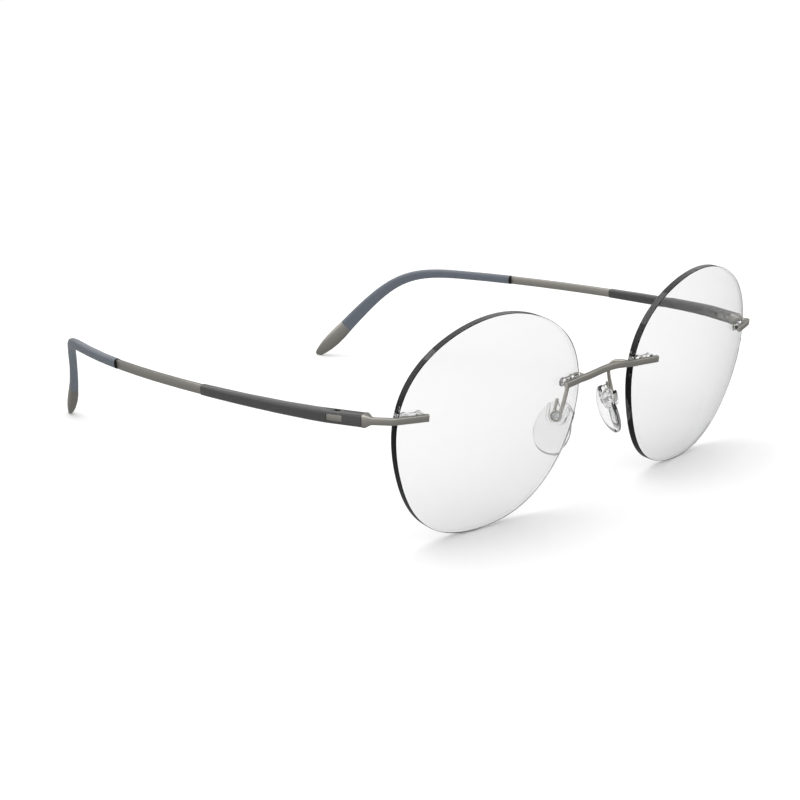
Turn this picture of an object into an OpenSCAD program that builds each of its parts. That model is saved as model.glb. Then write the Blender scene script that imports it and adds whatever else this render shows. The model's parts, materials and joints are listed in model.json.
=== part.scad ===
// Rimless eyeglasses. Two drilled lenses hang from a bridge and two end pieces by small
// posts in clear sleeves, and two temples of flat titanium strip fold on hidden hinges.
// +Z is up, the lenses face -Y and the temples run back along +Y. x = 0 is the plane of
// symmetry, z = 0 is the surface that the lenses and the temple tips rest on. Every piece
// is drawn for the wearer's left, +X, and mirrored for the right.

/* [Lenses] */
// Width of each lens
lens_w = 49; // [48.5:0.1:49.5]
// Distance between the lenses
lens_gap = 18.1; // [17.8:0.1:18.4]
// Thickness of each lens
lens_t = 1.6; // [1.5:0.05:1.8]
// Radius of the front surface
lens_r = 95; // [90:1:110]
// How far each lens turns back towards its temple, in degrees
wrap = 5.5; // [5.2:0.1:5.8]
// How far the top of each lens leans forward, in degrees
lean = 7.2; // [6.9:0.1:7.5]

/* [Rimless mounts] */
// Distance of each pair of holes from the lens centre, sideways
mount_u = 21; // [20.8:0.1:21.2]
// Height of each pair of holes above the lens centre
mount_v = 5.4; // [5.2:0.1:5.6]
// Distance between the two holes of a pair
hole_pitch = 3.2; // [3.1:0.1:3.3]
// Diameter of the holes in the lenses
hole_d = 1.4; // [1.35:0.05:1.5]
// Diameter of the posts on the bridge and end pieces
post_d = 0.8; // [0.7:0.05:0.85]
// Height of the strip that the bridge and end pieces are bent from
strip_h = 1.45; // [1.3:0.05:1.6]
// Thickness of that strip
strip_t = 0.85; // [0.7:0.05:1]
// Rise of the bridge above its two plates
bridge_rise = 0.9; // [0.6:0.1:1.6]

/* [Hinges] */
// Diameter of the hinge pins
pin_d = 0.64; // [0.6:0.02:0.7]
// Clearance around each pin, on the radius
pin_play = 0.03; // [0.02:0.01:0.04]
// Gap between the shoulder and the temple when it is open
stop_gap = 0.12; // [0.1:0.01:0.2]
// Height of the end piece's tongue
tongue_h = 0.9; // [0.8:0.05:0.95]

/* [Temples] */
// Width and height of the cover at its front
cover_front = [2.5, 2.8]; // [2:0.1:3]
// Width and height of the cover at its rear
cover_rear = [1.8, 2.3]; // [1.5:0.1:2.5]
// Thickness and height of the bare titanium strip
blade = [0.8, 2.1]; // [0.7:0.1:2.2]
// Thickness and height of the strip inside the cover and the sleeve
core = [0.6, 1.7]; // [0.5:0.1:1.8]
// Width and height of the sleeve where it starts
sleeve_front = [1.7, 2.3]; // [1.6:0.1:2.5]
// Width and height of the sleeve at the tip
sleeve_rear = [2, 3.8]; // [1.8:0.1:4]

/* [Nose pads] */
// Length of each pad
pad_l = 12; // [11:0.1:12.5]
// Width of each pad
pad_w = 8.7; // [7.5:0.1:9]
// Diameter of the wire of the pad arms
arm_d = 0.8; // [0.7:0.05:0.9]

/* [Hidden] */

titanium = "#807E78";
smoke = "#505050";
slate = "#6F747C";
clear_plastic = "#E4E8EA";
lens_tint = [0.93, 0.95, 0.95, 0.35];

// Distance from the middle of the lens rims back to the middle of the open glasses
middle_y = 68.04;
FINE = 48;          // segments of a small round feature
SURFACE = 200;      // segments of a lens surface
EPS = 0.01;

function unit(v) = v / norm(v);
function bezier(p, t) =
    pow(1 - t, 3) * p[0] + 3 * t * pow(1 - t, 2) * p[1]
    + 3 * t * t * (1 - t) * p[2] + pow(t, 3) * p[3];

// ---- lens frame: u towards the temple, v up, n out of the front surface ----

lens_u = [cos(wrap), sin(wrap), 0];
ahead = [sin(wrap), -cos(wrap), 0];
lens_v = cos(lean) * [0, 0, 1] + sin(lean) * ahead;
lens_n = cos(lean) * ahead - sin(lean) * [0, 0, 1];

// A round shape, a little wider than tall and flat on top
function rim_radius(a) =
    lens_w / 2 * (0.98 + 0.027 * cos(2 * a) - 0.008 * sin(2 * a) - 0.003 * cos(3 * a)
        + 0.019 * sin(3 * a) - 0.009 * cos(4 * a) + 0.01 * sin(5 * a));
rim = [for (a = [0:4:356]) rim_radius(a) * [cos(a), sin(a)]];
rim_drop = -min([for (p = rim) p[1]]);
// Depth of the front surface's centre of curvature behind the rim
curve_c = sqrt(pow(lens_r, 2) - pow(lens_w / 2, 2));
rim_bulge = sqrt(pow(lens_r, 2) - pow(rim_drop, 2)) - curve_c;
lens_c = [(lens_gap + lens_w) / 2, 0, rim_drop * cos(lean) + rim_bulge * sin(lean) + 0.03];

// Normal and place of the front surface at (u, v)
function face_normal(u, v) =
    unit(u * lens_u + v * lens_v + sqrt(pow(lens_r, 2) - u * u - v * v) * lens_n);
function on_face(u, v) =
    lens_c - curve_c * lens_n + lens_r * face_normal(u, v);

// The mounts: side is -1 at the nose and 1 at the temple
function mount_at(side, x, z) =
    let (n = face_normal(side * mount_u, mount_v),
         along = unit(cross(lens_v, n)))
    on_face(side * mount_u, mount_v) + x * along + z * n;
sleeve_lift = 0.3;
plate_mid = sleeve_lift + strip_t / 2 + 0.03;
// Depth of the rear flange's front face, just clear of the curved rear surface
rear_face = lens_t + 0.06;
flange_t = 0.4;
plate_end = hole_pitch / 2 + 1.2;

// ---- temple route ----

splay = 19;
splay_dir = [sin(splay), cos(splay), 0];
out_dir = [cos(splay), -sin(splay), 0];
// Middle of the temple's front face, and the hinge axis inboard of it
front_face = [61.24, 7.4, 28.2];
front_reach = 1.6;
pin_inboard = 0.4;
pivot = front_face + front_reach * splay_dir - pin_inboard * out_dir;
straight = 8;
leg_start = front_face + straight * splay_dir;
bend = [62.5, 100, 26.75];
leg_points = [leg_start, leg_start + 9 * splay_dir, [70.9, 66, 27.3], bend];
hook_points = [bend, [57.5, 120.4, 26.4], [52, 119.2, 23.6], [43.3, 139.3, 0.1]];

function route(t) =
    t < 0 ? leg_start + t * straight * splay_dir
    : t < 1 ? bezier(leg_points, t) : bezier(hook_points, t - 1);
function heading(t) = unit(route(t + 0.004) - route(t - 0.004));
// Station of the route at a given distance behind the lenses
function station(y, lo = 0, hi = 2, n = 24) =
    n == 0 ? (lo + hi) / 2
    : let (m = (lo + hi) / 2)
      route(m)[1] < y ? station(y, m, hi, n - 1) : station(y, lo, m, n - 1);

// Pieces of the hinge, measured along the temple from the hinge axis
fork_r = 0.62;
eye_r = 0.7;
web_front = 0.85;
web_rear = 6;
fork_h = 1.9;
wall = 0.2;
shoulder_y = -front_reach - stop_gap;

t_web = (web_rear - (straight - front_reach)) / straight;
t_cover = station(49.4);
t_sleeve = station(82.9);
t_tip = station(131.4);

// ---- nose pads ----

pad_hub = [10.03, 3.6, 19.25];
pad_face = unit([-0.855, 0.345, -0.324]);
// The pad's own width and length directions; the width points forward
pad_side = unit(cross([-0.36, -0.02, 0.93], pad_face));
pad_rise = cross(pad_face, pad_side);
function on_pad(x, y) = pad_hub + x * pad_side + y * pad_rise;
eye_loop_r = 0.95;
eye_wire_r = 0.32;
stud_r = 0.56;
pad_base = 1.05;    // from the eye's middle to the back of the pad's disc
pad_drop = 2.35;    // from the stud down to the pad's middle

// ---- helpers ----

// Moves children from their own axes to a place, with z along z_dir and y near y_dir
module place(at, z_dir, y_dir) {
    z = unit(z_dir);
    x = unit(cross(y_dir, z));
    y = cross(z, x);
    multmatrix([
        [x[0], y[0], z[0], at[0]],
        [x[1], y[1], z[1], at[1]],
        [x[2], y[2], z[2], at[2]]
    ]) children();
}

// Centres the part and puts the right-hand pieces in place
module seat(side) {
    translate([0, -middle_y, 0])
        if (side > 0) children();
        else mirror([1, 0, 0]) children();
}

module at_mount(side) {
    place(mount_at(side, 0, 0), face_normal(side * mount_u, mount_v), lens_v) children();
}

module at_hinge() {
    translate(pivot) rotate([0, 0, -splay]) children();
}

module at_pad() {
    place(pad_hub, pad_face, pad_rise) children();
}

module posts(d, z_low, z_high) {
    for (x = [-hole_pitch / 2, hole_pitch / 2])
        translate([x, 0, z_low])
            cylinder(d = d, h = z_high - z_low, $fn = FINE);
}

// A rectangle of width s[0] and height s[1] with rounded corners, about the origin
function rounded(s, share = 0.3) =
    let (r = share * min(s[0], s[1]))
    [for (q = [0:3], a = [0, 45, 90])
        let (c = q * 90)
        [(q == 0 || q == 3 ? 1 : -1) * (s[0] / 2 - r) + r * cos(a + c),
         (q < 2 ? 1 : -1) * (s[1] / 2 - r) + r * sin(a + c)]];

// An outline turned about its middle
function turned(outline, a) =
    [for (p = outline) [p[0] * cos(a) - p[1] * sin(a), p[0] * sin(a) + p[1] * cos(a)]];

// An outline set across a path: x sideways, y upwards
function across(at, along, outline) =
    let (side = unit(cross(along, [0, 0, 1])), up = cross(side, along))
    [for (p = outline) at + p[0] * side + p[1] * up];

function headings(path) =
    let (n = len(path) - 1)
    [for (i = [0:n]) unit(path[min(i + 1, n)] - path[max(i - 1, 0)])];

function wall_faces(rings, n, from = 0, flip = false) =
    [for (i = [0:rings - 2], j = [0:n - 1])
        let (a = from + i * n + j, b = from + i * n + (j + 1) % n)
        each (flip ? [[a, a + n, b], [b, a + n, b + n]] : [[a, b, a + n], [b, b + n, a + n]])];

// A solid through a row of rings
module skin(rings) {
    n = len(rings[0]);
    last = (len(rings) - 1) * n;
    polyhedron(
        points = [for (r = rings) each r],
        faces = concat(
            wall_faces(len(rings), n),
            [[for (j = [n - 1:-1:0]) j], [for (j = [0:n - 1]) last + j]]));
}

// The same with a hollow through it
module pipe(outer, inner) {
    n = len(outer[0]);
    m = len(outer);
    far = (m - 1) * n;
    polyhedron(
        points = concat([for (r = outer) each r], [for (r = inner) each r]),
        faces = concat(
            wall_faces(m, n),
            wall_faces(m, n, m * n, true),
            [for (j = [0:n - 1])
                let (k = (j + 1) % n)
                each [[j, m * n + j, k], [k, m * n + j, m * n + k],
                      [far + j, far + k, m * n + far + j],
                      [far + k, m * n + far + k, m * n + far + j]]]));
}

module swept(path, outlines) {
    along = headings(path);
    skin([for (i = [0:len(path) - 1]) across(path[i], along[i], outlines[i])]);
}

// ---- lenses and their mounts ----

module lens() {
    color(lens_tint)
    difference() {
        place(lens_c, lens_n, lens_v)
            difference() {
                intersection() {
                    translate([0, 0, -8]) linear_extrude(16) polygon(rim);
                    translate([0, 0, -curve_c]) sphere(lens_r, $fn = SURFACE);
                }
                translate([0, 0, -curve_c - lens_t]) sphere(lens_r, $fn = SURFACE);
            }
        for (side = [-1, 1])
            at_mount(side) posts(hole_d, -5, 5);
    }
}

// Two clear sleeves through the lens, joined by a flange behind it
module sleeves(side) {
    color(clear_plastic)
    at_mount(side)
        difference() {
            union() {
                posts(hole_d - 0.04, -rear_face - flange_t, sleeve_lift);
                posts(hole_d + 0.5, EPS, sleeve_lift);
                posts(hole_d + 0.5, -rear_face - flange_t, -rear_face);
                translate([-hole_pitch / 2, -hole_d / 2, -rear_face - flange_t])
                    cube([hole_pitch, hole_d, flange_t]);
            }
            posts(post_d + 0.04, -5, 5);
        }
}

module mount_posts(side) {
    at_mount(side) posts(post_d, -rear_face - flange_t - 0.15, plate_mid);
}

// One bent strip with a straight plate on each lens
module bridge() {
    inner_x = 9;
    plate = [for (x = [plate_end, 0, -plate_end]) mount_at(-1, x, plate_mid)];
    span = plate[2];
    arch = [for (x = [8:-1:1])
        [x, span[1] - 0.25 * (1 - pow(x / inner_x, 2)),
         span[2] + bridge_rise * (1 + cos(180 * x / span[0] * 0.95)) / 2]];
    crown = [[0, span[1] - 0.25, span[2] + bridge_rise]];
    half = concat(plate, arch);
    path = concat(half, crown, [for (i = [len(half) - 1:-1:0]) [-half[i][0], half[i][1], half[i][2]]]);
    color(titanium)
    translate([0, -middle_y, 0]) {
        swept(path, [for (p = path) turned(rounded([strip_t, strip_h], 0.2), lean)]);
        mount_posts(-1);
        mirror([1, 0, 0]) mount_posts(-1);
    }
}

// A plate on the lens, bent round its edge into an arm that flares to the hinge
module end_piece() {
    corner = mount_at(1, 4.7, plate_mid);
    shoulder = front_face - stop_gap * splay_dir;
    arm_dir = unit(shoulder - 2 * splay_dir - corner);
    turn = [mount_at(1, 3.7, plate_mid), corner, corner, corner + 1.4 * arm_dir];
    flare = [[2, 0], [1.5, 0.1], [0.9, 0.6], [0.5, 0.95], [0, 1]];
    path = concat(
        [for (x = [-plate_end, 0, 2]) mount_at(1, x, plate_mid)],
        [for (t = [0:0.125:1]) bezier(turn, t)],
        [for (f = flare) shoulder - f[0] * splay_dir]);
    strip = [strip_t, strip_h];
    // The strip lies flat on the leaning lens and stands upright past the bend
    outlines = concat(
        [for (i = [0:2]) turned(rounded(strip, 0.2), -lean)],
        [for (t = [0:0.125:1]) turned(rounded(strip, 0.2), -lean * (1 - t))],
        [for (f = flare) rounded((1 - f[1]) * strip + f[1] * cover_front, 0.2)]);
    color(titanium) {
        swept(path, outlines);
        mount_posts(1);
        at_hinge() tongue();
    }
}

// The flat tongue with the eye that turns on the hinge pin
module tongue() {
    translate([0, 0, -tongue_h / 2])
        difference() {
            union() {
                cylinder(r = eye_r, h = tongue_h, $fn = FINE);
                translate([-0.5, shoulder_y - 0.3, 0])
                    cube([1, 0.3 - shoulder_y, tongue_h]);
            }
            translate([0, 0, -1])
                cylinder(r = pin_d / 2 + pin_play, h = 3, $fn = FINE);
        }
}

// ---- hinges ----

// Two ears for the pin on a block that shows through the cover's window
module hinge_fork() {
    inner = -cover_front[0] / 2 + pin_inboard + wall + 0.05;
    outer = cover_front[0] / 2 + pin_inboard - wall - 0.05;
    color(titanium)
    at_hinge()
        difference() {
            union() {
                translate([0, 0, -fork_h / 2])
                    cylinder(r = fork_r, h = fork_h, $fn = FINE);
                translate([inner, 0, -fork_h / 2])
                    cube([outer - inner, web_rear, fork_h]);
                translate([outer - EPS, 2.64, -0.65])
                    cube([wall, web_rear - 2.64, 1.3]);
            }
            translate([-2, -2, -tongue_h / 2 - 0.05])
                cube([4, 2 + web_front, tongue_h + 0.1]);
            translate([0, 0, -2])
                cylinder(d = pin_d + 0.02, h = 4, $fn = FINE);
        }
}

module hinge_pin() {
    color("#A8A6A0")
    at_hinge()
        translate([0, 0, -fork_h / 2])
            cylinder(d = pin_d, h = fork_h, $fn = FINE);
}

// ---- temples ----

// Titanium strip: narrow inside the cover, bare in the middle, narrow again in the sleeve
module temple_strip() {
    step = 0.002;
    stations = concat(
        [t_web, 0],
        [for (i = [1:7]) t_cover * i / 8],
        [t_cover - step, t_cover + step],
        [for (i = [1:7]) t_cover + (t_sleeve - t_cover) * i / 8],
        [t_sleeve - step, t_sleeve + step],
        [for (i = [1:15]) t_sleeve + (t_tip - t_sleeve) * i / 16],
        [t_tip]);
    color(titanium)
    swept([for (t = stations) route(t)],
        [for (t = stations) rounded(t > t_cover && t < t_sleeve ? blade : core, 0.15)]);
}

// What is cut out of the cover's front end, in the hinge's own frame
module cover_room() {
    play = 0.03;
    inner = -cover_front[0] / 2 + pin_inboard + wall;
    outer = cover_front[0] / 2 + pin_inboard - wall;
    cavity_h = fork_h + 2 * play;
    // Room for the fork
    translate([inner, -front_reach - 1, -cavity_h / 2])
        cube([outer - inner, web_rear + front_reach + 1, cavity_h]);
    // Channel that lets the tongue swing out of the inner side
    translate([-3, -3, -0.6]) cube([3.2, 5.8, 1.2]);
    translate([-3, 2.8, 0]) rotate([0, 90, 0]) cylinder(r = 0.6, h = 3.2, $fn = FINE);
    // Window on the outer side
    translate([outer - 0.1, 2.6, -0.69]) cube([1, 3.5, 1.38]);
    // Snap slot in the top
    translate([0.2, 3.3, 0.5]) cube([0.9, 1.3, 1]);
    // Rounded inner corner, so that it clears the shoulder as the temple folds
    difference() {
        translate([-3, -3, -3]) cube([3, 3, 6]);
        translate([0, 0, -4]) cylinder(r = front_reach, h = 8, $fn = FINE);
    }
}

module temple_cover() {
    play = 0.03;
    n = 14;
    // From the front face, a whole straight length before the route's start
    stations = concat([-1], [for (i = [0:n]) t_cover * i / n]);
    hole = rounded(core + 2 * play * [1, 1], 0.15);
    color(smoke)
    difference() {
        pipe(
            [for (i = [0:n + 1]) across(route(stations[i]), heading(stations[i]),
                rounded(cover_front + (cover_rear - cover_front) * max(i - 1, 0) / n))],
            [for (t = stations) across(route(t), heading(t), hole)]);
        at_hinge() cover_room();
    }
}

module tip_sleeve() {
    play = 0.03;
    n = 26;
    stations = [for (i = [0:n]) t_sleeve + (t_tip - t_sleeve) * i / n];
    hole = rounded(core + 2 * play * [1, 1], 0.15);
    color(slate)
    pipe(
        [for (i = [0:n]) across(route(stations[i]), heading(stations[i]),
            rounded(sleeve_front + (sleeve_rear - sleeve_front) * pow(i / n, 2), 0.4))],
        [for (t = stations) across(route(t), heading(t), hole)]);
}

// Rounded metal end of the temple, cut flat where it rests
module tip_end() {
    steps = [0, 0.25, 0.5, 0.7, 0.85, 0.95, 1];
    function bulge(k) = (1 + 0.12 * sin(180 * k)) * sqrt(1 - pow(k, 4) * 0.85);
    // The toe leans back from the temple's heading
    toe = [0, 1.1, 0.06];
    color(titanium)
    intersection() {
        skin([for (k = steps)
            let (t = t_tip + (2 - t_tip) * k)
            across(route(t) + k * k * toe, heading(min(t, 1.99)),
                rounded(sleeve_rear * bulge(k), 0.4))]);
        translate([20, 120, 0]) cube([50, 40, 20]);
    }
}

// ---- nose pads ----

// A wire that hooks round the stud: it comes down in front and its tail ends behind
module pad_arm() {
    from = [8, -3.5, 28.55];
    top = on_pad(0.84, 3.7);
    wire = [from, [6.6, 3, 29.5], top + 4.2 * pad_rise, top];
    path = concat([for (t = [0:0.0625:1]) bezier(wire, t)], [on_pad(0.8, 1.6), on_pad(0.74, 0.6)]);
    tail = [on_pad(-0.8, 0.45), on_pad(-0.62, 1.3), on_pad(-0.67, 3.7)];
    color(titanium) {
        swept(path, [for (p = path) ring_of(arm_d / 2)]);
        swept(tail, [for (p = tail) ring_of(eye_wire_r)]);
        at_pad() rotate_extrude($fn = FINE)
            translate([eye_loop_r, 0]) circle(r = eye_wire_r, $fn = 24);
    }
}

function ring_of(r) = [for (a = [0:45:315]) r * [cos(a), sin(a)]];

// Outline of the pad, narrower at the top
function pad_outline(k) =
    [for (a = [0:15:345])
        [k * pad_w / 2 * cos(a) * (1 - 0.14 * sin(a)), k * pad_l / 2 * sin(a) - pad_drop]];

// Half a circle about the stud with a flare that opens upwards from it
module keyhole(r, flare, low, high) {
    translate([0, 0, low]) linear_extrude(high - low)
        polygon(concat(
            [for (a = [180:15:360]) r * [cos(a), sin(a)]],
            [[r + flare, 5], [-r - flare, 5]]));
}

// A thin disc with a raised housing on its back, slotted for the wire hook
module nose_pad() {
    // Height above the disc's back and size, from the nose side to the back
    layers = [[1.3, 0.4], [1.2, 0.7], [1, 0.9], [0.7, 1], [0.2, 1], [0, 0.92]];
    back = -0.45;
    slot_floor = 0.55;
    notch_low = 2.2;
    color("#EEF1F2")
    at_pad()
        difference() {
            union() {
                skin([for (l = layers)
                    [for (p = pad_outline(l[1])) [p[0], p[1], pad_base + l[0]]]]);
                intersection() {
                    keyhole(2.1, 0.6, back, pad_base + 0.4);
                    translate([0, 0, back]) linear_extrude(3) polygon(pad_outline(0.96));
                }
            }
            keyhole(1.45, 0.9, back - 1, slot_floor);
            translate([0, 0, back]) linear_extrude(5)
                polygon([[-0.3, notch_low], [0.3, notch_low], [1.8, 5], [-1.8, 5]]);
            cylinder(r = stud_r + 0.02, h = pad_base + 0.6, $fn = FINE);
        }
}

// Hard stud inside the pad; its button holds the pad in the arm's eye
module pad_stud() {
    color(clear_plastic)
    at_pad() {
        translate([0, 0, -0.8]) cylinder(r = 0.95, h = 0.33, $fn = FINE);
        translate([0, 0, -0.8]) cylinder(r = stud_r, h = 0.8 + pad_base + 0.5, $fn = FINE);
    }
}

seat(1) lens();  // lens_left
seat(-1) lens();  // lens_right
bridge();
seat(1) end_piece();  // end_piece_left
seat(-1) end_piece();  // end_piece_right
seat(1) sleeves(-1);  // bridge_sleeves_left
seat(-1) sleeves(-1);  // bridge_sleeves_right
seat(1) sleeves(1);  // end_sleeves_left
seat(-1) sleeves(1);  // end_sleeves_right
seat(1) pad_arm();  // pad_arm_left
seat(-1) pad_arm();  // pad_arm_right
seat(1) nose_pad();  // nose_pad_left
seat(-1) nose_pad();  // nose_pad_right
seat(1) pad_stud();  // pad_stud_left
seat(-1) pad_stud();  // pad_stud_right
seat(1) hinge_fork();  // hinge_fork_left
seat(-1) hinge_fork();  // hinge_fork_right
seat(1) hinge_pin();  // hinge_pin_left
seat(-1) hinge_pin();  // hinge_pin_right
seat(1) temple_strip();  // temple_strip_left
seat(-1) temple_strip();  // temple_strip_right
seat(1) temple_cover();  // temple_cover_left
seat(-1) temple_cover();  // temple_cover_right
seat(1) tip_sleeve();  // tip_sleeve_left
seat(-1) tip_sleeve();  // tip_sleeve_right
seat(1) tip_end();  // tip_end_left
seat(-1) tip_end();  // tip_end_right
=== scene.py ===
"""Looks of a pair of rimless eyeglasses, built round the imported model.

Every piece is in metres, in the row frame: +Z up, lenses facing -Y, temples running back along +Y,
+X the wearer's left. The lenses are formed here as ground meniscus lenses. The metal and plastic
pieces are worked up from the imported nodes: merged, split where two finishes meet, softened along
their edges and given their finish.
"""

from __future__ import annotations

import json
import logging
import math
from dataclasses import dataclass, field
from enum import Enum
from typing import Iterable

import bpy
from mathutils import Matrix, Vector

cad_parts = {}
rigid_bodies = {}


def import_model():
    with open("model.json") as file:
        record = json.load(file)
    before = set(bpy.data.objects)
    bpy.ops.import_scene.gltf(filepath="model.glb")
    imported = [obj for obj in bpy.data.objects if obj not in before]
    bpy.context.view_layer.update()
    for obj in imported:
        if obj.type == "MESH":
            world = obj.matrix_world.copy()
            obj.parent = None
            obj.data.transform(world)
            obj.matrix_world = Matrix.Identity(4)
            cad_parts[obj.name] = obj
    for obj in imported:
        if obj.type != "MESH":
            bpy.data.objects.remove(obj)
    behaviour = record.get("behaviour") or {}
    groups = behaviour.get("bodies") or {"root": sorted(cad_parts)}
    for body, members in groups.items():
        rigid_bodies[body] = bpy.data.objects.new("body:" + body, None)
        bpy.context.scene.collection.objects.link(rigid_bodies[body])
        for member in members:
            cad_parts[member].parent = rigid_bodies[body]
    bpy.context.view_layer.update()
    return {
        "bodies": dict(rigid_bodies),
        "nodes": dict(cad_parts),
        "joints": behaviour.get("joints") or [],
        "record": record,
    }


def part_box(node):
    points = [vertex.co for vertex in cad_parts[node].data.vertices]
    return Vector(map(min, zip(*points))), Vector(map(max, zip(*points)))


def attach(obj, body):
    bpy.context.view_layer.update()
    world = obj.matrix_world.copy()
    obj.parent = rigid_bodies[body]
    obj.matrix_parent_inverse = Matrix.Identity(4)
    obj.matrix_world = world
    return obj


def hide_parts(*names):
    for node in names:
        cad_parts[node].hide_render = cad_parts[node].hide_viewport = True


LOG = logging.getLogger("eyeglasses")
MM = 0.001
WHITE = (1.0, 1.0, 1.0, 1.0)
# Sockets of a Mix node set to colour: the two it mixes, and the mixture
FIRST, SECOND, MIXED = 6, 7, 2
# Faces that meet at more degrees than SHARP have an edge to round, and at fewer than FLAT are one
SHARP = 50.0
FLAT = 1.0
# Distance within which two points are one, in metres
SAME_PLACE = 0.001 * MM


class Side(Enum):
    """The wearer's two sides, and which way each lies along X."""

    LEFT = 1
    RIGHT = -1

    @property
    def word(self) -> str:
        """The side's ending in node and piece names."""
        return self.name.lower()

    def place(self, point: Vector) -> Vector:
        """A point given for the left side, on this side.

        Args:
            point: place in the row frame, on the left side.
        Returns:
            The same place on this side.
        """
        return Vector((self.value * point.x, point.y, point.z))


# ---- colour, nodes and objects ----


def linear(code: str) -> tuple[float, float, float, float]:
    """Turns an sRGB hex colour into linear light.

    Args:
        code: colour as "#RRGGBB".
    Returns:
        Linear red, green, blue and an alpha of one.
    """
    parts = [int(code[i : i + 2], 16) / 255 for i in (1, 3, 5)]
    light = [p / 12.92 if p <= 0.04045 else ((p + 0.055) / 1.055) ** 2.4 for p in parts]
    return (light[0], light[1], light[2], 1.0)


def add_node(
    tree: bpy.types.NodeTree, kind: str, settings: dict | None = None, **inputs: object,
) -> bpy.types.Node:
    """Adds a node with its settings, input values and links.

    Args:
        tree: node tree that takes the node.
        kind: Blender's name for the node's type.
        settings: the node's own properties.
        **inputs: values or sockets for its inputs, with underscores for spaces in their names.
    Returns:
        The new node.
    """
    node = tree.nodes.new(kind)
    for name, value in (settings or {}).items():
        setattr(node, name, value)
    for name, value in inputs.items():
        socket = node.inputs[name.replace("_", " ")]
        if isinstance(value, bpy.types.NodeSocket):
            tree.links.new(value, socket)
        else:
            socket.default_value = value
    return node


def new_material(
    name: str,
) -> tuple[bpy.types.Material, bpy.types.NodeTree, bpy.types.Node]:
    """Starts a material with an empty node tree.

    Args:
        name: the material's name.
    Returns:
        The material, its node tree and its output node.
    """
    material = bpy.data.materials.new(name)
    material.use_nodes = True
    tree = material.node_tree
    tree.nodes.clear()
    return material, tree, add_node(tree, "ShaderNodeOutputMaterial")


def only(obj: bpy.types.Object) -> None:
    """Makes one object the active one and the only one selected.

    Args:
        obj: the object.
    """
    bpy.ops.object.select_all(action="DESELECT")
    obj.select_set(True)
    bpy.context.view_layer.objects.active = obj


def apply_modifier(obj: bpy.types.Object, kind: str, **settings: object) -> None:
    """Adds a modifier and applies it.

    Args:
        obj: piece that is changed.
        kind: Blender's name for the modifier's type.
        **settings: the modifier's properties.
    """
    only(obj)
    modifier = obj.modifiers.new(kind.title(), kind)
    for name, value in settings.items():
        setattr(modifier, name, value)
    bpy.ops.object.modifier_apply(modifier=modifier.name)


def merged_copy(node: bpy.types.Object, name: str) -> bpy.types.Object:
    """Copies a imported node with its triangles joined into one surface.

    Args:
        node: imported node.
        name: name of the new piece.
    Returns:
        The new piece.
    """
    piece = bpy.data.objects.new(name, node.data.copy())
    bpy.context.scene.collection.objects.link(piece)
    piece.data.materials.clear()
    only(piece)
    bpy.ops.object.mode_set(mode="EDIT")
    bpy.ops.mesh.select_all(action="SELECT")
    bpy.ops.mesh.customdata_custom_splitnormals_clear()
    bpy.ops.mesh.remove_doubles(threshold=SAME_PLACE)
    bpy.ops.mesh.dissolve_limited(angle_limit=math.radians(FLAT))
    bpy.ops.object.mode_set(mode="OBJECT")
    return piece


def cut_off(obj: bpy.types.Object, at: Vector, normal: Vector) -> None:
    """Cuts away what lies on a plane's far side and closes the cut.

    Args:
        obj: piece that is cut.
        at: point on the plane.
        normal: direction of the side that goes.
    """
    only(obj)
    bpy.ops.object.mode_set(mode="EDIT")
    bpy.ops.mesh.select_all(action="SELECT")
    bpy.ops.mesh.bisect(
        plane_co=at, plane_no=normal, use_fill=True, clear_outer=True, threshold=1e-7,
    )
    bpy.ops.object.mode_set(mode="OBJECT")


def soften(obj: bpy.types.Object, width: float, smooth: float = 40.0) -> None:
    """Rounds a piece's sharp edges and smooths its curved faces.

    Args:
        obj: piece that is softened.
        width: width of the rounded edge, in millimetres; none at 0.
        smooth: faces that meet at less than this many degrees shade as one.
    """
    if width > 0:
        apply_modifier(
            obj, "BEVEL", width=width * MM, segments=2, limit_method="ANGLE",
            angle_limit=math.radians(SHARP), use_clamp_overlap=True,
        )
    only(obj)
    bpy.ops.object.shade_smooth_by_angle(angle=math.radians(smooth))


# ---- finishes ----


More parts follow.
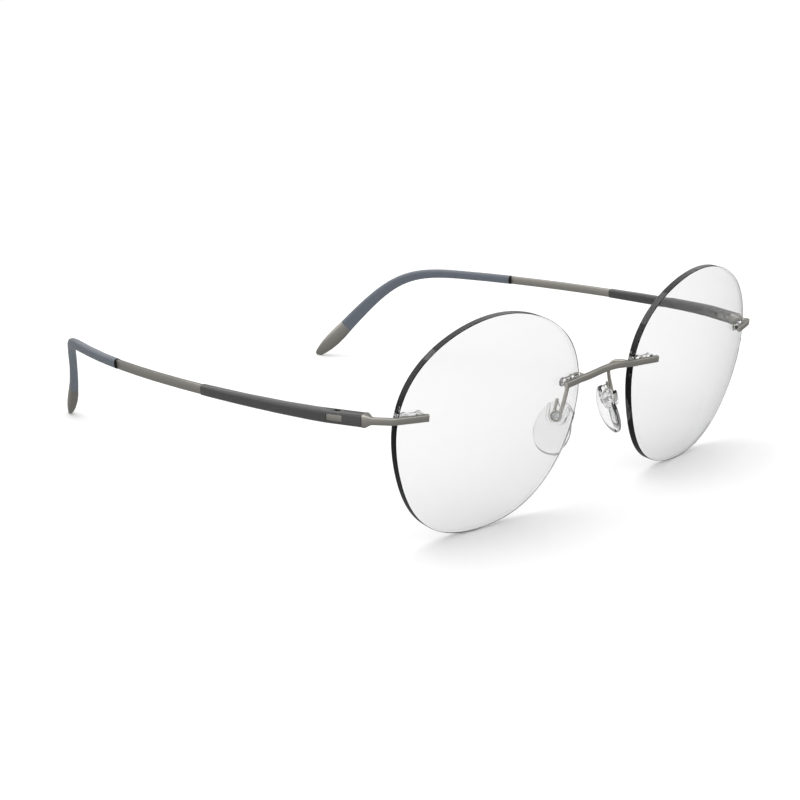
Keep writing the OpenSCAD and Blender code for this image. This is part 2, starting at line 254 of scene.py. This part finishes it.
@dataclass(frozen=True)
class SatinMetal:
    """Beta titanium strip, tumbled to a satin: a soft warm grey that glints along bent edges."""

    name: str
    colour: str = "#8F8C85"
    roughness: float = 0.34
    # The blasted grain is 0.03 mm and is drawn coarser, as fine as it can show
    grain: float = 0.22
    grain_depth: float = 0.01
    # Share of the tone that the dark side of a grain keeps, and how far roughness strays
    mottle: float = 0.86
    spread: float = 0.06
    # Share of the tone that faces turned upwards keep: painted shade, darker on the top faces
    rolled: float = 0.3

    def build(self) -> bpy.types.Material:
        """Makes the material.

        Returns:
            A metal whose roughness and tone vary with the grain, with painted shade darkening the
            faces turned upwards.
        """
        material, tree, output = new_material(self.name)
        place = add_node(tree, "ShaderNodeTexCoord")
        grain = add_node(
            tree, "ShaderNodeTexNoise", Vector=place.outputs["Object"],
            Scale=1 / (self.grain * MM), Detail=3.0, Roughness=0.6,
        )
        tone = add_node(
            tree, "ShaderNodeMix", {"data_type": "RGBA"}, Factor=grain.outputs["Fac"],
        )
        tone.inputs[FIRST].default_value = self._darker(self.mottle)
        tone.inputs[SECOND].default_value = linear(self.colour)
        # Painted shade: faces turned upwards are mixed towards a darker share of the tone
        facing = add_node(tree, "ShaderNodeSeparateXYZ", Vector=place.outputs["Normal"])
        level = add_node(
            tree, "ShaderNodeMapRange", Value=facing.outputs["Z"], From_Min=0.5, From_Max=0.85,
        )
        top_shaded = add_node(
            tree, "ShaderNodeMix", {"data_type": "RGBA"}, Factor=level.outputs["Result"],
        )
        tree.links.new(tone.outputs[MIXED], top_shaded.inputs[FIRST])
        top_shaded.inputs[SECOND].default_value = self._darker(self.rolled)
        rough = add_node(
            tree, "ShaderNodeMapRange", Value=grain.outputs["Fac"],
            To_Min=self.roughness - self.spread, To_Max=self.roughness + self.spread,
        )
        bump = add_node(
            tree, "ShaderNodeBump", Strength=0.12, Distance=self.grain_depth * MM,
            Height=grain.outputs["Fac"],
        )
        shader = add_node(
            tree, "ShaderNodeBsdfPrincipled", Base_Color=top_shaded.outputs[MIXED], Metallic=1.0,
            Roughness=rough.outputs["Result"], Normal=bump.outputs["Normal"],
        )
        tree.links.new(shader.outputs["BSDF"], output.inputs["Surface"])
        return material

    def _darker(self, share: float) -> tuple[float, float, float, float]:
        """The metal's colour with only a share of its light."""
        red, green, blue, alpha = linear(self.colour)
        return (share * red, share * green, share * blue, alpha)


@dataclass(frozen=True)
class ClearBody:
    """Clear or tinted moulded plastic that light passes through, darker along longer paths."""

    name: str
    colour: str
    ior: float
    roughness: float
    # Share of the light that a path of one millimetre takes out, for each colour's lack
    density: float
    # Share of the light that its pigment scatters back
    cloud: float = 0.0
    # Flow marks of the moulding, in millimetres
    ripple: float = 1.5
    ripple_depth: float = 0.002

    def build(self) -> bpy.types.Material:
        """Makes the material.

        Returns:
            A transmitting surface round an absorbing inside.
        """
        material, tree, output = new_material(self.name)
        place = add_node(tree, "ShaderNodeTexCoord")
        flow = add_node(
            tree, "ShaderNodeTexNoise", Vector=place.outputs["Object"],
            Scale=1 / (self.ripple * MM), Detail=1.0,
        )
        bump = add_node(
            tree, "ShaderNodeBump", Strength=0.5, Distance=self.ripple_depth * MM,
            Height=flow.outputs["Fac"],
        )
        shader = add_node(
            tree, "ShaderNodeBsdfPrincipled",
            Base_Color=linear(self.colour) if self.cloud else WHITE, IOR=self.ior,
            Roughness=self.roughness, Transmission_Weight=1.0 - self.cloud,
            Normal=bump.outputs["Normal"],
        )
        tree.links.new(shader.outputs["BSDF"], output.inputs["Surface"])
        inside = add_node(
            tree, "ShaderNodeVolumeAbsorption", Color=linear(self.colour),
            Density=self.density / MM,
        )
        tree.links.new(inside.outputs["Volume"], output.inputs["Volume"])
        return material


@dataclass(frozen=True)
class DullBody:
    """Surface that passes no light: the painted dark line on a lens's bevel, the painted outline
    of a pad, or plastic filled with pigment.
    """

    name: str
    colour: str
    gloss: float = 0.5
    # Scratches of the tool, in millimetres, and the roughness between and in them
    scratch: float = 0.15
    smoothest: float = 0.5
    roughest: float = 0.8

    def build(self) -> bpy.types.Material:
        """Makes the material.

        Returns:
            A surface whose roughness varies with the scratches.
        """
        material, tree, output = new_material(self.name)
        place = add_node(tree, "ShaderNodeTexCoord")
        grain = add_node(
            tree, "ShaderNodeTexNoise", Vector=place.outputs["Object"],
            Scale=1 / (self.scratch * MM),
        )
        rough = add_node(
            tree, "ShaderNodeMapRange", Value=grain.outputs["Fac"], To_Min=self.smoothest,
            To_Max=self.roughest,
        )
        shader = add_node(
            tree, "ShaderNodeBsdfPrincipled", Base_Color=linear(self.colour), IOR=1.5,
            Roughness=rough.outputs["Result"], Specular_IOR_Level=self.gloss,
        )
        tree.links.new(shader.outputs["BSDF"], output.inputs["Surface"])
        return material


Finish = SatinMetal | ClearBody | DullBody

# Colourless and very smooth: nearly unseen face on, dark along the edge where light is trapped
LENS = ClearBody(
    "lens, cast and ground acrylic", "#3A3D3C", 1.5, 0.0, 0.098, ripple=14.0, ripple_depth=0.0,
)
# Bevelled corner of the lens edge, painted near black: a painted dark line round the outline in
# place of the darkness that light gives the glass's edge
PAINTED_EDGE_LINE = DullBody("lens, ground bevel", "#0C0C0C", 0.05)
# Soft and clear with a slight haze, so the wire shows through it
SILICONE = ClearBody("pad, moulded clear silicone", "#6A6E6D", 1.41, 0.03, 0.07)
# Painted outline: the pad's side wall painted opaque grey, a grey line along its edge in place of
# the dark that light gives the clear pad's rim
PAINTED_PAD_OUTLINE = DullBody("nose pad, moulded edge", "#828483")
# High index and hard: small bright glints above each plate
CLEAR = ClearBody("sleeve and stud, moulded polycarbonate", "#6C706F", 1.58, 0.02, 0.35)
# Half clouded with soot pigment: dark grey, a little lighter along its top edge
SMOKE = ClearBody("cover, moulded smoke polyamide", "#5C5B5B", 1.5, 0.12, 1.0, 0.55)
# Filled with the same pigment, so that it hides the hinge
COVER_FRONT = DullBody("temple cover, filled front", "#484848", 0.4)
# Mostly clouded with blue grey pigment: an even slate with a soft shine
SLATE = ClearBody("tip sleeve, moulded slate polyamide", "#737A84", 1.5, 0.2, 0.9, 0.65)
# Tumbled metal: a warm grey that shines softly, with painted shade darkening its upward faces
TITANIUM = SatinMetal("titanium, satin", "#D2CFC6", 0.46)
# The same, left a shade darker at the tip
DARK_TITANIUM = SatinMetal("titanium, satin, tip end", "#CBC8C0", 0.46)
# Drawn and smoother than the strip: a brighter shine
PIN_STEEL = SatinMetal("pin, drawn steel", "#B8B6B0", 0.22)
# Blackened metal: a thin dark band at the mouth of the sleeve
COLLAR = SatinMetal("collar, blackened", "#3A3A3A", 0.5)


@dataclass
class Workshop:
    """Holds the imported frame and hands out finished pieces.

    Attributes:
        made: materials made so far, by name.
    """

    frame: dict
    made: dict[str, bpy.types.Material] = field(default_factory=dict)

    def node(self, name: str) -> bpy.types.Object:
        """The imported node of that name."""
        return self.frame["nodes"][name]

    def body_of(self, name: str) -> str:
        """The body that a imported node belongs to."""
        bodies = self.frame["record"]["behaviour"]["bodies"]
        return next(body for body, members in bodies.items() if name in members)

    def dress(self, obj: bpy.types.Object, finish: Finish, slot: int = 0) -> None:
        """Gives a piece its finish.

        Args:
            obj: piece that is dressed.
            finish: finish that it gets.
            slot: material slot of the piece that takes it.
        """
        if finish.name not in self.made:
            self.made[finish.name] = finish.build()
        while len(obj.data.materials) <= slot:
            obj.data.materials.append(None)
        obj.data.materials[slot] = self.made[finish.name]

    def hand_over(
        self, obj: bpy.types.Object, finish: Finish, node: str,
        stands_for: bool = True,
    ) -> None:
        """Dresses a piece and ties it to the node it was made for.

        Args:
            obj: finished piece.
            finish: its finish.
            node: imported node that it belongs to.
            stands_for: True where the piece is shown instead of the node.
        """
        self.dress(obj, finish)
        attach(obj, self.body_of(node))
        if stands_for:
            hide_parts(node)
        LOG.info("%s: %d faces", obj.name, len(obj.data.polygons))


# ---- lenses ----


@dataclass
class Lens:
    """A round drilled lens with one outline, ground to two spheres. Sizes are in millimetres."""

    width: float = 49.0
    gap: float = 18.1
    thickness: float = 1.6
    radius: float = 95.0
    wrap: float = 5.5
    lean: float = 7.2
    hole: float = 1.4
    hole_u: float = 21.0
    hole_v: float = 5.4
    hole_pitch: float = 3.2
    safety_bevel: float = 0.1
    rings: int = 14
    rim_points: int = 216
    # Share of the radius that the rings take up; the rest closes to a pole
    ringed: float = 0.97
    # Faces of the lens that meet at less than this many degrees shade as one
    smooth: float = 25.0
    # Points round each drill, and its length
    drill_points: int = 40
    drill_length: float = 6.0

    def rim(self, turn: float) -> float:
        """Radius of the outline at an angle from the temple side, in radians."""
        return self.width / 2 * (
            0.98 + 0.027 * math.cos(2 * turn) - 0.008 * math.sin(2 * turn)
            - 0.003 * math.cos(3 * turn) + 0.019 * math.sin(3 * turn)
            - 0.009 * math.cos(4 * turn) + 0.01 * math.sin(5 * turn)
        )

    def axes(self) -> tuple[Vector, Vector, Vector]:
        """The left lens's own directions: towards the temple, up, and out of its front."""
        wrap, lean = math.radians(self.wrap), math.radians(self.lean)
        ahead = Vector((math.sin(wrap), -math.cos(wrap), 0))
        up = Vector((0, 0, 1))
        across = Vector((math.cos(wrap), math.sin(wrap), 0))
        return (
            across, math.cos(lean) * up + math.sin(lean) * ahead,
            math.cos(lean) * ahead - math.sin(lean) * up,
        )

    def seat(self, node: bpy.types.Object) -> Vector:
        """Centre of the left lens's rim plane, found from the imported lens.

        Args:
            node: packed left lens.
        Returns:
            The place, in millimetres, in the row frame.
        """
        across, up, out = self.axes()
        corners = [vertex.co / MM for vertex in node.data.vertices]
        middle = Vector()
        for axis, low, high in (
            (across, -self.rim(math.pi), self.rim(0.0)),
            (up, -self._reach(-1), self._reach(1)),
        ):
            heights = [corner.dot(axis) for corner in corners]
            middle += axis * ((min(heights) + max(heights)) / 2 - (low + high) / 2)
        front = max(corner.dot(out) for corner in corners)
        return middle + out * (front - (self.radius - self._curve_depth()))

    def _reach(self, way: int) -> float:
        """How far the outline reaches up, for 1, or down, for -1."""
        steps = [2 * math.pi * i / self.rim_points for i in range(self.rim_points)]
        return max(way * self.rim(turn) * math.sin(turn) for turn in steps)

    def _curve_depth(self) -> float:
        """Distance from the rim plane back to the front sphere's centre."""
        return math.sqrt(self.radius**2 - (self.width / 2) ** 2)

    def build(self, side: Side, centre: Vector) -> bpy.types.Object:
        """Makes one lens: a ringed disc, domed, thickened, bevelled and drilled.

        Args:
            side: the wearer's side.
            centre: what seat() found.
        Returns:
            The lens.
        """
        bpy.ops.object.select_all(action="DESELECT")
        bpy.ops.mesh.primitive_circle_add(vertices=self.rim_points, radius=1, fill_type="NGON")
        lens = bpy.context.object
        lens.name = f"ground_lens_{side.word}"
        for _ in range(2):
            lens.data.materials.append(None)
        bpy.ops.object.mode_set(mode="EDIT")
        bpy.ops.mesh.select_all(action="SELECT")
        for _ in range(self.rings):
            bpy.ops.mesh.inset(thickness=self.ringed / self.rings, use_even_offset=False)
        bpy.ops.mesh.poke()
        bpy.ops.object.mode_set(mode="OBJECT")
        across, up, out = self.axes()
        depth = self._curve_depth()
        for vertex in lens.data.vertices:
            share = math.hypot(vertex.co.x, vertex.co.y)
            turn = math.atan2(vertex.co.y, vertex.co.x)
            u = share * self.rim(turn) * math.cos(turn)
            v = share * self.rim(turn) * math.sin(turn)
            dome = math.sqrt(self.radius**2 - u * u - v * v) - depth
            vertex.co = side.place(centre + u * across + v * up + dome * out) * MM
        self._thicken(lens, side.place(-self.thickness * out) * MM)
        # The bevel's faces take the second slot, which is painted near black as a dark edge line
        apply_modifier(
            lens, "BEVEL", width=self.safety_bevel * MM, segments=1, limit_method="ANGLE",
            angle_limit=math.radians(SHARP), material=1,
        )
        self._drill(lens, side, centre)
        only(lens)
        bpy.ops.object.shade_smooth_by_angle(angle=math.radians(self.smooth))
        return lens

    def _thicken(self, lens: bpy.types.Object, move: Vector) -> None:
        """Closes the dome with an edge along the lens's axis and an equal back surface.

        Args:
            lens: the domed front surface.
            move: way from the front surface to the back one.
        """
        only(lens)
        bpy.ops.object.mode_set(mode="EDIT")
        bpy.ops.mesh.select_all(action="SELECT")
        bpy.ops.mesh.duplicate()
        bpy.ops.transform.translate(value=move)
        bpy.ops.mesh.select_all(action="SELECT")
        bpy.ops.mesh.select_mode(type="EDGE")
        bpy.ops.mesh.region_to_loop()
        bpy.ops.mesh.bridge_edge_loops()
        bpy.ops.mesh.select_all(action="SELECT")
        bpy.ops.mesh.normals_make_consistent(inside=False)
        bpy.ops.mesh.select_mode(type="VERT")
        bpy.ops.object.mode_set(mode="OBJECT")

    def _drill(self, lens: bpy.types.Object, side: Side, centre: Vector) -> None:
        """Drills the four holes square to the front surface.

        Args:
            lens: lens that is drilled.
            side: the wearer's side.
            centre: centre of the left lens's rim plane, in millimetres.
        """
        across, up, out = self.axes()
        for way in (-1, 1):
            u, v = way * self.hole_u, self.hole_v
            level = math.sqrt(self.radius**2 - u * u - v * v)
            normal = (u * across + v * up + level * out).normalized()
            face = centre - self._curve_depth() * out + self.radius * normal
            along = up.cross(normal).normalized()
            for step in (-0.5, 0.5):
                at = side.place(face + step * self.hole_pitch * along) * MM
                turn = side.place(normal).to_track_quat("Z", "Y")
                bpy.ops.mesh.primitive_cylinder_add(
                    vertices=self.drill_points, radius=self.hole / 2 * MM,
                    depth=self.drill_length * MM, location=at, rotation=turn.to_euler(),
                )
                drill = bpy.context.object
                apply_modifier(
                    lens, "BOOLEAN", object=drill, operation="DIFFERENCE", solver="EXACT",
                )
                bpy.data.objects.remove(drill)


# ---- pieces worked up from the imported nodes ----


@dataclass
class FrontMetalwork:
    """The bridge and the two end pieces, cut and bent from one strip."""

    edge: float = 0.05
    smooth: float = 50.0

    def make(self, shop: Workshop) -> None:
        """Makes the bridge and both end pieces.

        Args:
            shop: workshop that hands the pieces over.
        """
        for node in ("bridge", "end_piece_left", "end_piece_right"):
            piece = merged_copy(shop.node(node), f"bent_{node}")
            soften(piece, self.edge, self.smooth)
            shop.hand_over(piece, TITANIUM, node)


@dataclass
class LensSleeves:
    """Clear sleeves that sit round the posts in the lens holes."""

    edge: float = 0.05

    def make(self, shop: Workshop, side: Side) -> None:
        """Makes one lens's two pairs of sleeves.

        Args:
            shop: workshop that hands the pieces over.
            side: the wearer's side.
        """
        for kind in ("bridge_sleeves", "end_sleeves"):
            node = f"{kind}_{side.word}"
            piece = merged_copy(shop.node(node), f"clear_{node}")
            soften(piece, self.edge)
            shop.hand_over(piece, CLEAR, node)


@dataclass
class NosePad:
    """A soft clear pad moulded round a hard stud, held in the loop of a wire arm."""

    # Direction in which the left pad faces the nose
    facing: tuple[float, float, float] = (-0.8749, 0.353, -0.3315)
    # Radius round the stud, in millimetres, outside which the pad is a plain disc
    disc: float = 3.7
    # Faces that lean less than this off the pad's side, as a cosine, are its edge
    upright: float = 0.6
    # Widths of the rounded edges of the stud and the pad
    stud_edge: float = 0.08
    pad_edge: float = 0.12
    # Faces that meet at less than this many degrees shade as one
    wire_smooth: float = 60.0
    pad_smooth: float = 80.0

    def make(self, shop: Workshop, side: Side) -> None:
        """Makes one pad, its stud and its arm.

        Args:
            shop: workshop that hands the pieces over.
            side: the wearer's side.
        """
        arm = merged_copy(shop.node(f"pad_arm_{side.word}"), f"wire_pad_arm_{side.word}")
        soften(arm, 0, self.wire_smooth)
        shop.hand_over(arm, TITANIUM, f"pad_arm_{side.word}")
        stud = merged_copy(shop.node(f"pad_stud_{side.word}"), f"turned_pad_stud_{side.word}")
        soften(stud, self.stud_edge)
        shop.hand_over(stud, CLEAR, f"pad_stud_{side.word}")
        pad = merged_copy(shop.node(f"nose_pad_{side.word}"), f"soft_nose_pad_{side.word}")
        soften(pad, self.pad_edge, self.pad_smooth)
        self._rim(shop, pad, side)
        shop.hand_over(pad, SILICONE, f"nose_pad_{side.word}")

    def _rim(self, shop: Workshop, pad: bpy.types.Object, side: Side) -> None:
        """Paints the pad's outer side wall opaque grey: a painted outline along its edge.

        Args:
            shop: workshop that dresses the edge.
            pad: pad that is finished.
            side: the wearer's side.
        """
        low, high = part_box(f"pad_stud_{side.word}")
        hub = (low + high) / 2
        facing = Vector((side.value * self.facing[0], *self.facing[1:]))
        # Painted outline: faces round the pad's side, beyond the disc, are painted opaque grey
        shop.dress(pad, PAINTED_PAD_OUTLINE, 1)
        for face in pad.data.polygons:
            arm = face.center - hub
            arm -= arm.dot(facing) * facing
            leans = abs(face.normal.dot(facing)) < self.upright
            if leans and arm.length > self.disc * MM:
                face.material_index = 1


@dataclass
class Temple:
    """One temple: strip, cover, hinge block and pin, tip sleeve and metal end."""

    # Widths of the rounded edges of the cover, the hinge block and the pin
    edge: float = 0.06
    fork_edge: float = 0.03
    pin_edge: float = 0.04
    # Length of the dark band at the sleeve's mouth
    collar: float = 0.5
    # From the hinge axis back to the cover's window
    window: float = 2.3
    # Faces that meet at less than this many degrees shade as one
    smooth: float = 50.0
    sleeve_smooth: float = 60.0

    def make(self, shop: Workshop, side: Side) -> None:
        """Makes every piece of one temple.

        Args:
            shop: workshop that hands the pieces over.
            side: the wearer's side.
        """
        for kind, finish, slot, edge in (
            ("hinge_fork", TITANIUM, "titanium", self.fork_edge),
            ("hinge_pin", PIN_STEEL, "steel_pin", self.pin_edge),
            ("temple_strip", TITANIUM, "titanium", 0),
            ("temple_cover", SMOKE, "smoke_plastic", self.edge),
            ("tip_end", DARK_TITANIUM, "dark_titanium", 0),
        ):
            node = f"{kind}_{side.word}"
            piece = merged_copy(shop.node(node), f"fitted_{node}")
            soften(piece, edge, self.smooth)
            if finish is SMOKE:
                self._filled_front(shop, piece, side)
            shop.hand_over(piece, finish, node)
        self._tip_sleeve(shop, side)

    def _filled_front(self, shop: Workshop, cover: bpy.types.Object, side: Side) -> None:
        """Makes the cover opaque in front of its window.

        Args:
            shop: workshop that dresses the cover.
            cover: cover that is finished.
            side: the wearer's side.
        """
        low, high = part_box(f"hinge_pin_{side.word}")
        window = (low.y + high.y) / 2 + self.window * MM
        shop.dress(cover, COVER_FRONT, 1)
        for face in cover.data.polygons:
            if face.center.y < window:
                face.material_index = 1

    def _tip_sleeve(self, shop: Workshop, side: Side) -> None:
        """Makes the tip sleeve and the dark collar at its mouth.

        Args:
            shop: workshop that hands the pieces over.
            side: the wearer's side.
        """
        node = f"tip_sleeve_{side.word}"
        mouth = Vector((0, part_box(node)[0].y + self.collar * MM, 0))
        collar = merged_copy(shop.node(node), f"mouth_collar_{side.word}")
        cut_off(collar, mouth, Vector((0, 1, 0)))
        soften(collar, 0, self.smooth)
        shop.hand_over(collar, COLLAR, node, stands_for=False)
        sleeve = merged_copy(shop.node(node), f"moulded_{node}")
        cut_off(sleeve, mouth, Vector((0, -1, 0)))
        soften(sleeve, 0, self.sleeve_smooth)
        shop.hand_over(sleeve, SLATE, node)


# ---- floor, light and camera ----


@dataclass
class Studio:
    """A pale table under a broad soft light, and the camera. Lengths are in millimetres."""

    azimuth: float = -44.15
    elevation: float = 15.47
    distance: float = 350.18
    roll: float = -0.65
    focal: float = 70.07
    target: tuple[float, float, float] = (-19.94, -28.04, 17.63)
    sensor: float = 36.0
    nearest: float = 10.0
    farthest: float = 50000.0
    # The table's width, and how far it lies below the tips so that the two never share a plane
    floor: float = 12000.0
    floor_gap: float = 0.02
    # Strength of the ceiling, of the walls below it, and of the lamp in watts
    ceiling: float = 1.22
    walls: float = 0.25
    lamp: float = 2.8
    # Heights between which the surround brightens, as the sine of the angle above level
    dusk: float = -0.1
    day: float = 0.6
    lamp_width: float = 800.0
    lamp_place: tuple[float, float, float] = (-200.0, 200.0, 1000.0)

    def make(self) -> None:
        """Builds the whole studio."""
        self._camera()
        self._table()
        self._light()

    def _camera(self) -> None:
        """Places the camera on its arc round the target."""
        turn, rise = math.radians(self.azimuth), math.radians(self.elevation)
        level = Vector((math.sin(turn), -math.cos(turn), 0))
        back = math.cos(rise) * level + Vector((0, 0, math.sin(rise)))
        camera = bpy.data.cameras.new("camera")
        camera.lens = self.focal
        camera.sensor_width = self.sensor
        camera.clip_start = self.nearest * MM
        camera.clip_end = self.farthest * MM
        holder = bpy.data.objects.new("camera", camera)
        bpy.context.scene.collection.objects.link(holder)
        aim = back.to_track_quat("Z", "Y").to_matrix().to_4x4()
        holder.matrix_world = (
            Matrix.Translation((Vector(self.target) + self.distance * back) * MM)
            @ aim @ Matrix.Rotation(math.radians(self.roll), 4, "Z")
        )
        bpy.context.scene.camera = holder

    def _table(self) -> None:
        """Lays a plain white table under the tips."""
        bpy.ops.object.select_all(action="DESELECT")
        bpy.ops.mesh.primitive_plane_add(
            size=self.floor * MM, location=(0, 0, -self.floor_gap * MM),
        )
        table = bpy.context.object
        table.name = "table"
        bpy.ops.object.transform_apply(location=True, rotation=True, scale=True)
        material, tree, output = new_material("table, matt white laminate")
        shader = add_node(
            tree, "ShaderNodeBsdfPrincipled", Base_Color=(0.9, 0.9, 0.9, 1), Roughness=0.6,
            Specular_IOR_Level=0.2,
        )
        tree.links.new(shader.outputs["BSDF"], output.inputs["Surface"])
        table.data.materials.append(material)
        # The glasses mirror the dark room below the table's edge, not the table
        table.visible_glossy = False

    def _light(self) -> None:
        """Lights the table from a bright ceiling, darker walls and one broad lamp overhead."""
        world = bpy.data.worlds.new("surround")
        bpy.context.scene.world = world
        world.use_nodes = True
        tree = world.node_tree
        tree.nodes.clear()
        place = add_node(tree, "ShaderNodeTexCoord")
        height = add_node(tree, "ShaderNodeSeparateXYZ", Vector=place.outputs["Generated"])
        level = add_node(
            tree, "ShaderNodeMapRange", {"interpolation_type": "SMOOTHSTEP"},
            Value=height.outputs["Z"], From_Min=self.dusk, From_Max=self.day,
            To_Min=self.walls, To_Max=self.ceiling,
        )
        light = add_node(
            tree, "ShaderNodeBackground", Color=WHITE, Strength=level.outputs["Result"],
        )
        output = add_node(tree, "ShaderNodeOutputWorld")
        tree.links.new(light.outputs["Background"], output.inputs["Surface"])
        lamp = bpy.data.lights.new("overhead softbox", "AREA")
        lamp.energy = self.lamp
        lamp.size = self.lamp_width * MM
        holder = bpy.data.objects.new("overhead softbox", lamp)
        bpy.context.scene.collection.objects.link(holder)
        holder.location = Vector(self.lamp_place) * MM
        holder.rotation_euler = holder.location.to_track_quat("Z", "Y").to_euler()
        bpy.context.scene.view_settings.view_transform = "Standard"


def main() -> None:
    """Builds the eyeglasses and the studio."""
    logging.basicConfig(level=logging.INFO, format="%(name)s %(message)s")
    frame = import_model()
    Studio().make()
    shop = Workshop(frame)
    lens = Lens()
    centre = lens.seat(shop.node("lens_left"))
    for side in Side:
        ground = lens.build(side, centre)
        # Painted dark edge line on the lens's bevel
        shop.dress(ground, PAINTED_EDGE_LINE, 1)
        shop.hand_over(ground, LENS, f"lens_{side.word}")
        LensSleeves().make(shop, side)
        NosePad().make(shop, side)
        Temple().make(shop, side)
    FrontMetalwork().make(shop)


if __name__ == "__main__":
    main()
